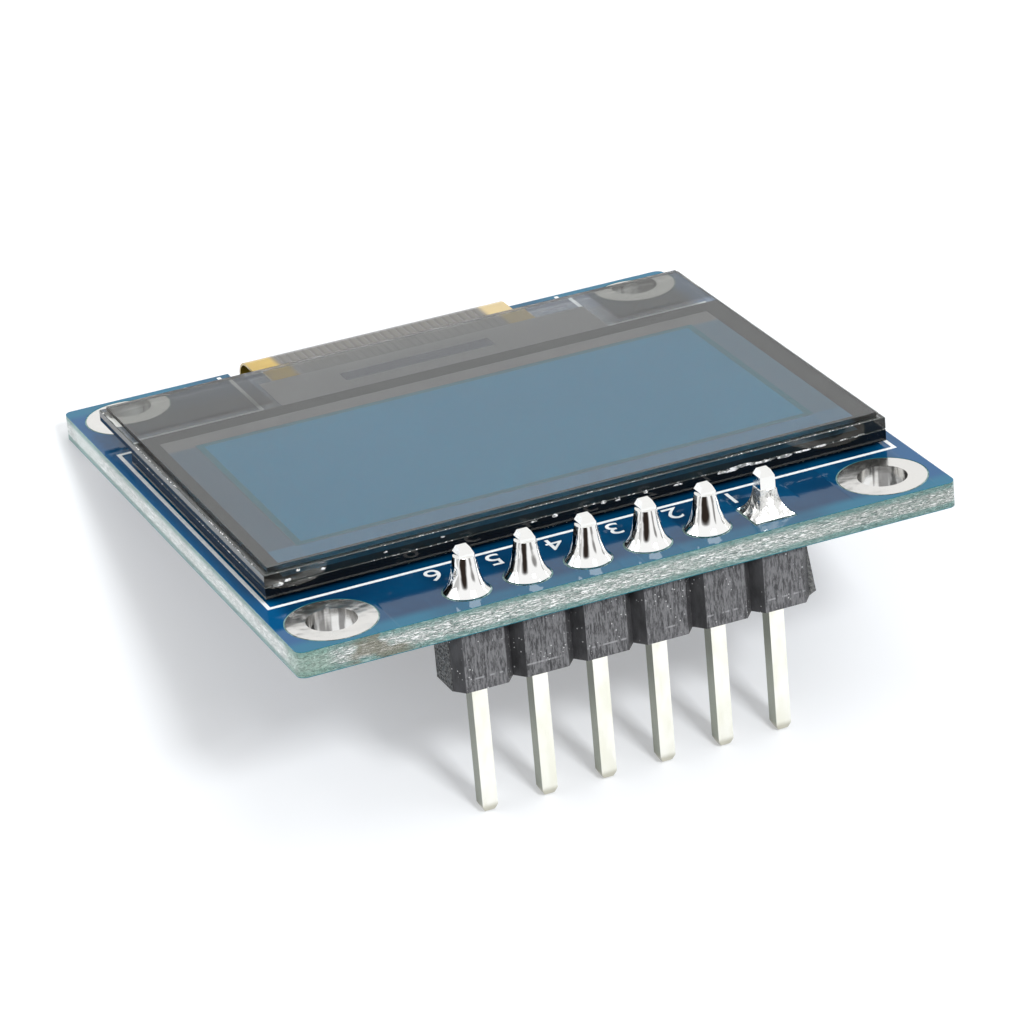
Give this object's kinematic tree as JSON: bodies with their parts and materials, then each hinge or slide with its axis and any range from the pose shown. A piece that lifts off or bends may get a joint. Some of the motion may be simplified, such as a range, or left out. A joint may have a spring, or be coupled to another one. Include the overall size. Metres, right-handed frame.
{
  "type": "small oled display module",
  "caption": "Small square graphic display module: glass panel taped to a blue circuit board with corner holes, a folded flex tail and a soldered row of header pins",
  "frame": {"origin": "centre of the four mounting holes, on the back face of the board", "axes": "+X along the row of header pins, +Y from the pins to the edge where the flex folds, +Z out of the display"},
  "size_m": [0.0278, 0.0274, 0.0113],
  "materials": {
    "laminate": "glass-fibre laminate, satin",
    "blue_lacquer": "blue lacquer, gloss",
    "tin": "tinned copper, bright",
    "header_plastic": "moulded, satin",
    "tape": "foam tape, matt",
    "panel_glass": "thin display glass, polished",
    "drying_sheet": "pressed sheet, matt",
    "seal": "cured epoxy",
    "pixel_film": "metal-backed film, gloss",
    "frame_film": "polyimide film",
    "polarizer": "plastic film, polished",
    "silicon": "polished silicon",
    "polyimide": "polyimide film",
    "solder": "solder, bright",
    "white_ink": "printed ink",
    "moulding": "moulded epoxy, matt",
    "resistor": "glazed chip with tinned ends",
    "capacitor": "ceramic chip with tinned ends",
    "pin_metal": "tinned brass, bright"
  },
  "bodies": {
    "root": {"back_pads": "tin", "back_solder_mask": "blue_lacquer", "cap_glass": "panel_glass", "capacitor_1": "capacitor", "capacitor_2": "capacitor", "capacitor_3": "capacitor", "capacitor_4": "capacitor", "capacitor_5": "capacitor", "chip_solder_fillets": "solder", "circuit_board": "laminate", "display_flex": "polyimide", "driver_chip": "silicon", "drying_sheet": "drying_sheet", "flex_solder_joints": "solder", "frame_film": "frame_film", "front_solder_mask": "blue_lacquer", "header_pin_1": "pin_metal", "header_pin_2": "pin_metal", "header_pin_3": "pin_metal", "header_pin_4": "pin_metal", "header_pin_5": "pin_metal", "header_pin_6": "pin_metal", "header_strip": "header_plastic", "mounting_hole_plating_1": "tin", "mounting_hole_plating_2": "tin", "mounting_hole_plating_3": "tin", "mounting_hole_plating_4": "tin", "mounting_tape": "tape", "panel_seal": "seal", "pin_hole_plating_1": "tin", "pin_hole_plating_2": "tin", "pin_hole_plating_3": "tin", "pin_hole_plating_4": "tin", "pin_hole_plating_5": "tin", "pin_hole_plating_6": "tin", "pixel_film": "pixel_film", "polarizer": "polarizer", "printed_outline": "white_ink", "regulator_body": "moulding", "regulator_lead_1": "tin", "regulator_lead_2": "tin", "regulator_lead_3": "tin", "resistor_1": "resistor", "resistor_2": "resistor", "resistor_3": "resistor", "resistor_4": "resistor", "solder_joint_1": "solder", "solder_joint_2": "solder", "solder_joint_3": "solder", "solder_joint_4": "solder", "solder_joint_5": "solder", "solder_joint_6": "solder", "substrate_glass": "panel_glass"}
  },
  "joints": []
}
